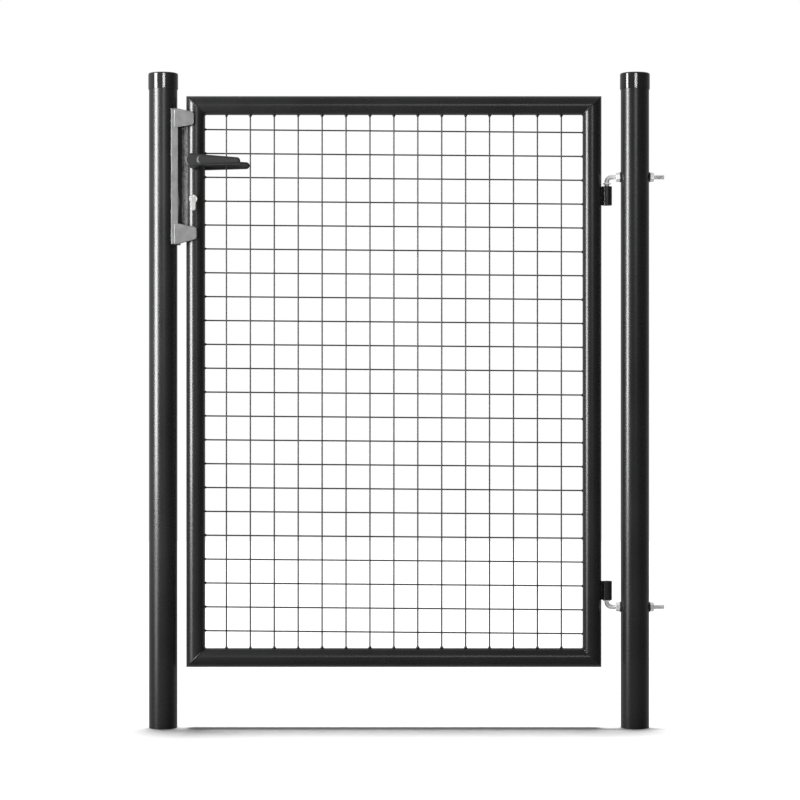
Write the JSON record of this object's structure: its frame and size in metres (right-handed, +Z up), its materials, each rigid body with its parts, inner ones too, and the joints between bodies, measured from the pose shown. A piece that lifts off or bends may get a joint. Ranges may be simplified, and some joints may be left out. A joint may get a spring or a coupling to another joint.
{
  "type": "garden gate",
  "caption": "Single-leaf garden gate: round posts, welded tube frame with wire mesh, adjustable hook hinges, narrow lock with lever handles and a stop keep.",
  "frame": {"origin": "on the ground, below the middle of the gate's overall box", "axes": "+X along the fence from the latch post to the hinge post, +Y to the rear, where the leaf opens to, +Z up"},
  "size_m": [1.0936, 0.13, 1.3865],
  "materials": {
    "powder_coat": "anthracite polyester powder coat with a fine orange peel, satin gloss",
    "cap_plastic": "black polyethylene cap, gloss",
    "keep_metal": "cast aluminium, light grey, fine bead-blasted",
    "black_plastic": "black nylon, matt",
    "stainless": "stainless steel, brushed",
    "zinc": "bright zinc plating on steel",
    "black_rubber": "black rubber",
    "lock_steel": "zinc plated lock steel",
    "faceplate_zinc": "galvanised steel with a mottled grey surface",
    "nickel": "satin nickel plating",
    "lever_coat": "cast aluminium with a textured anthracite coat",
    "plug_brass": "nickel plated brass plug"
  },
  "bodies": {
    "posts": {"latch_post": "powder_coat", "hinge_post": "powder_coat", "latch_post_cap": "cap_plastic", "hinge_post_cap": "cap_plastic", "keep_body": "keep_metal", "keep_insert": "black_plastic", "keep_screws": "stainless", "upper_hook_bolt": "zinc", "lower_hook_bolt": "zinc", "upper_hook_nuts": "zinc", "lower_hook_nuts": "zinc", "upper_hook_washers": "black_rubber", "lower_hook_washers": "black_rubber"},
    "leaf": {"latch_stile": "powder_coat", "hinge_stile": "powder_coat", "top_rail": "powder_coat", "bottom_rail": "powder_coat", "upright_wires": "powder_coat", "cross_wires": "powder_coat", "upper_barrel": "powder_coat", "lower_barrel": "powder_coat", "lock_case": "lock_steel", "lock_cover": "lock_steel", "case_screws": "lock_steel", "latch_spring": "lock_steel", "lock_faceplate": "faceplate_zinc", "faceplate_screws": "stainless", "front_rosette": "black_plastic", "rear_rosette": "black_plastic", "cylinder_body": "nickel", "cylinder_screw": "stainless"},
    "handle": {"front_lever": "lever_coat", "rear_lever": "lever_coat", "spindle": "lock_steel", "follower": "lock_steel", "lever_grub_screws": "stainless"},
    "latch": {"latch_bolt": "stainless"},
    "dead_bolt": {"dead_bolt": "stainless"},
    "key_plugs": {"cylinder_plugs": "plug_brass", "cylinder_cam": "lock_steel"}
  },
  "joints": [
    {"name": "leaf_swing", "type": "hinge", "parent": "posts", "child": "leaf", "pos_m": [0.42505, 0, 0.7], "axis": [0, 0, -1], "range_deg": [0, 110]},
    {"name": "lever_turn", "type": "hinge", "parent": "leaf", "child": "handle", "pos_m": [-0.44935, 0, 1.1977], "axis": [0, 1, 0], "range_deg": [0, 40], "stiffness_Nm_per_rad": 1.2, "springref_deg": -28.65},
    {"name": "latch_slide", "type": "slide", "parent": "leaf", "child": "latch", "axis": [1, 0, 0], "range_m": [0, 0.0095], "deforming": ["latch_spring"]},
    {"name": "key_turn", "type": "hinge", "parent": "leaf", "child": "key_plugs", "pos_m": [-0.44935, 0, 1.1182], "axis": [0, -1, 0], "range_deg": [0, 360]},
    {"name": "dead_bolt_slide", "type": "slide", "parent": "leaf", "child": "dead_bolt", "axis": [-1, 0, 0], "range_m": [0, 0.018]}
  ],
  "couplings": [
    {"joint": "latch_slide", "follows": "lever_turn", "m_per_rad": 0.013608},
    {"joint": "key_turn", "follows": "dead_bolt_slide", "rad_per_m": 349.07}
  ]
}
